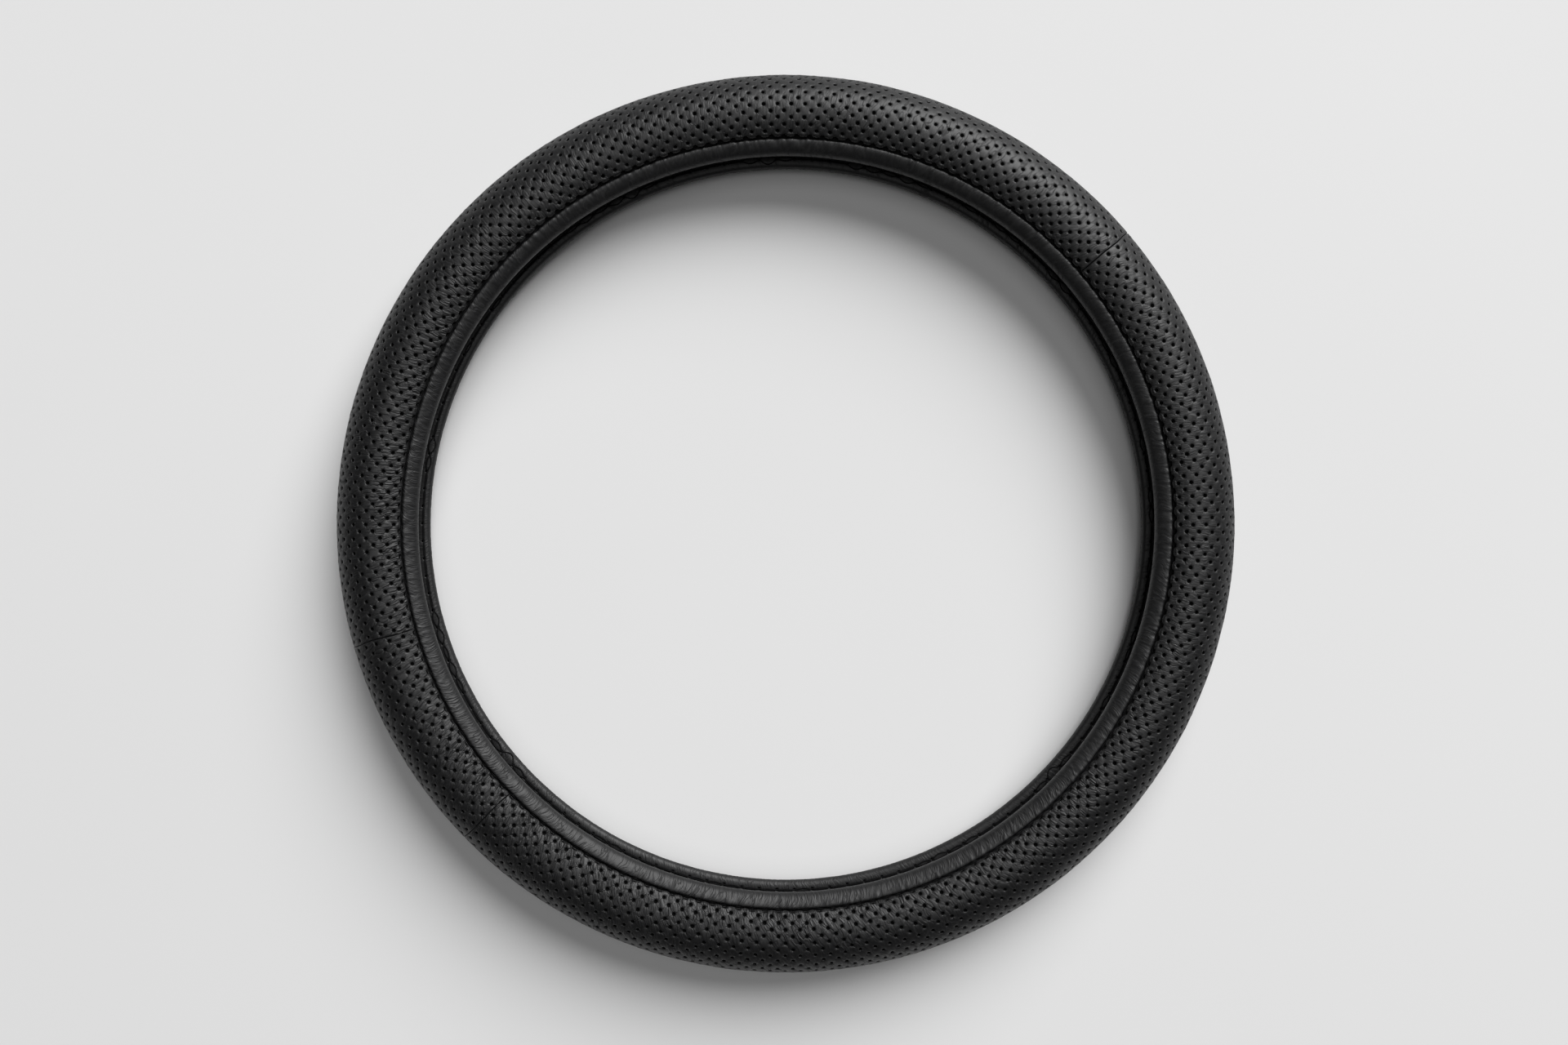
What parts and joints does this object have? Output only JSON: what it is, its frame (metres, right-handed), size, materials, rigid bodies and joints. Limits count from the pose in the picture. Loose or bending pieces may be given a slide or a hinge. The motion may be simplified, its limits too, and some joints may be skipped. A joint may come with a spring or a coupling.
{
  "type": "steering wheel cover",
  "caption": "Ring-shaped slip-on cover of perforated black leather over a rubber ring of C section, with padded hems along the open mouth on its inner side.",
  "frame": {"origin": "centre of the ring, on its middle plane", "axes": "+Z along the ring's axis, up from the surface that the cover lies on; +X towards the right of the picture and +Y towards its top"},
  "size_m": [0.38, 0.38, 0.036],
  "materials": {
    "perforated_leather": "matte, perforated, finely creased",
    "smooth_leather": "matte, finely wrinkled across the hem",
    "rubber": "matte, moulded",
    "thread": "waxed, twisted"
  },
  "bodies": {
    "root": {"rubber_ring": "rubber", "panel_top_left": "perforated_leather", "panel_joining": "perforated_leather", "panel_lower_right": "perforated_leather", "hem_upper": "smooth_leather", "hem_lower": "smooth_leather", "seam_thread_upper": "thread", "seam_thread_lower": "thread", "lacing_thread_upper": "thread", "lacing_thread_lower": "thread"}
  },
  "joints": []
}
